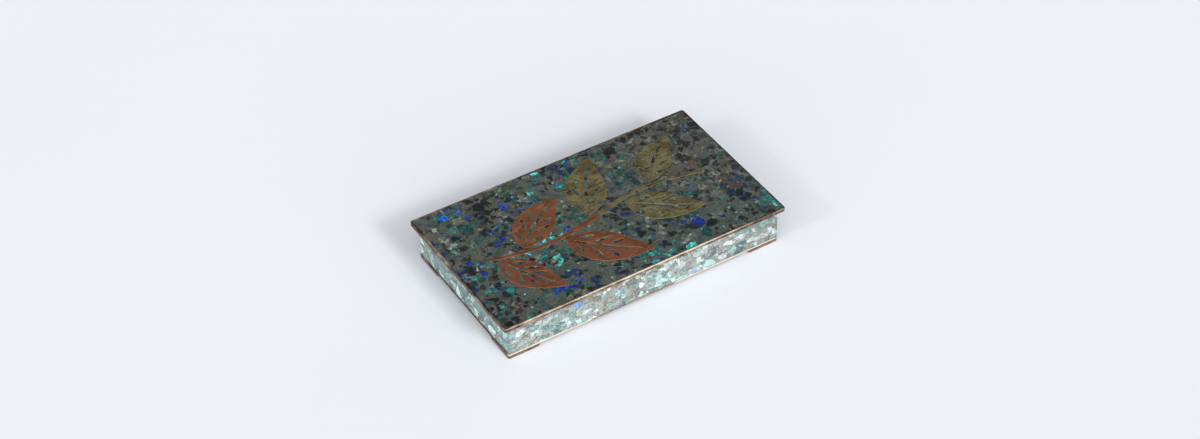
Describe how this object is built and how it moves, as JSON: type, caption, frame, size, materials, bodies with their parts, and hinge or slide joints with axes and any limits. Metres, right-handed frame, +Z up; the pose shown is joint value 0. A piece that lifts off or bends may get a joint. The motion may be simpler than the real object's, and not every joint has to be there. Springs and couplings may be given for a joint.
{
  "type": "keepsake box",
  "caption": "Low rectangular hinged box with a stone mosaic lid inlaid with metal leaves, shell mosaic sides, small corner feet and a wood lining.",
  "frame": {"origin": "on the ground under the middle of the lid, which is the widest piece", "axes": "+X along the length, -Y towards the front, +Z up; the hinge is at the back, +Y"},
  "size_m": [0.21, 0.119, 0.029],
  "materials": {
    "brass_sheet": "worn brass sheet",
    "dark_brass": "tarnished brass",
    "patinated_rim": "brown patina with worn bright edges",
    "inlay_copper": "brushed copper",
    "inlay_brass": "dull brushed brass with tarnish",
    "stone_mosaic": "polished stone chips in dark resin",
    "shell_mosaic": "pearly shell chips in resin",
    "cedar": "satin cedar"
  },
  "bodies": {
    "box": {"base_plate": "brass_sheet", "wall_frame": "brass_sheet", "top_rim": "brass_sheet", "shell_front": "shell_mosaic", "shell_back": "shell_mosaic", "shell_left": "shell_mosaic", "shell_right": "shell_mosaic", "lining_floor": "cedar", "lining_front": "cedar", "lining_back": "cedar", "lining_left": "cedar", "lining_right": "cedar", "foot_front_left": "dark_brass", "foot_front_right": "dark_brass", "foot_back_left": "dark_brass", "foot_back_right": "dark_brass", "hinge_box_leaf": "dark_brass", "hinge_pin": "brass_sheet"},
    "lid": {"lid_plate": "brass_sheet", "lid_rim": "patinated_rim", "lid_mosaic": "stone_mosaic", "copper_stem": "inlay_copper", "copper_leaf_1": "inlay_copper", "copper_leaf_2": "inlay_copper", "copper_leaf_3": "inlay_copper", "brass_stem": "inlay_brass", "brass_leaf_1": "inlay_brass", "brass_leaf_2": "inlay_brass", "brass_leaf_3": "inlay_brass", "hinge_lid_leaf": "dark_brass"}
  },
  "joints": [
    {"name": "lid_hinge", "type": "hinge", "parent": "box", "child": "lid", "pos_m": [0, 0.0544, 0.0239], "axis": [-1, 0, 0], "range_deg": [0, 110]}
  ]
}
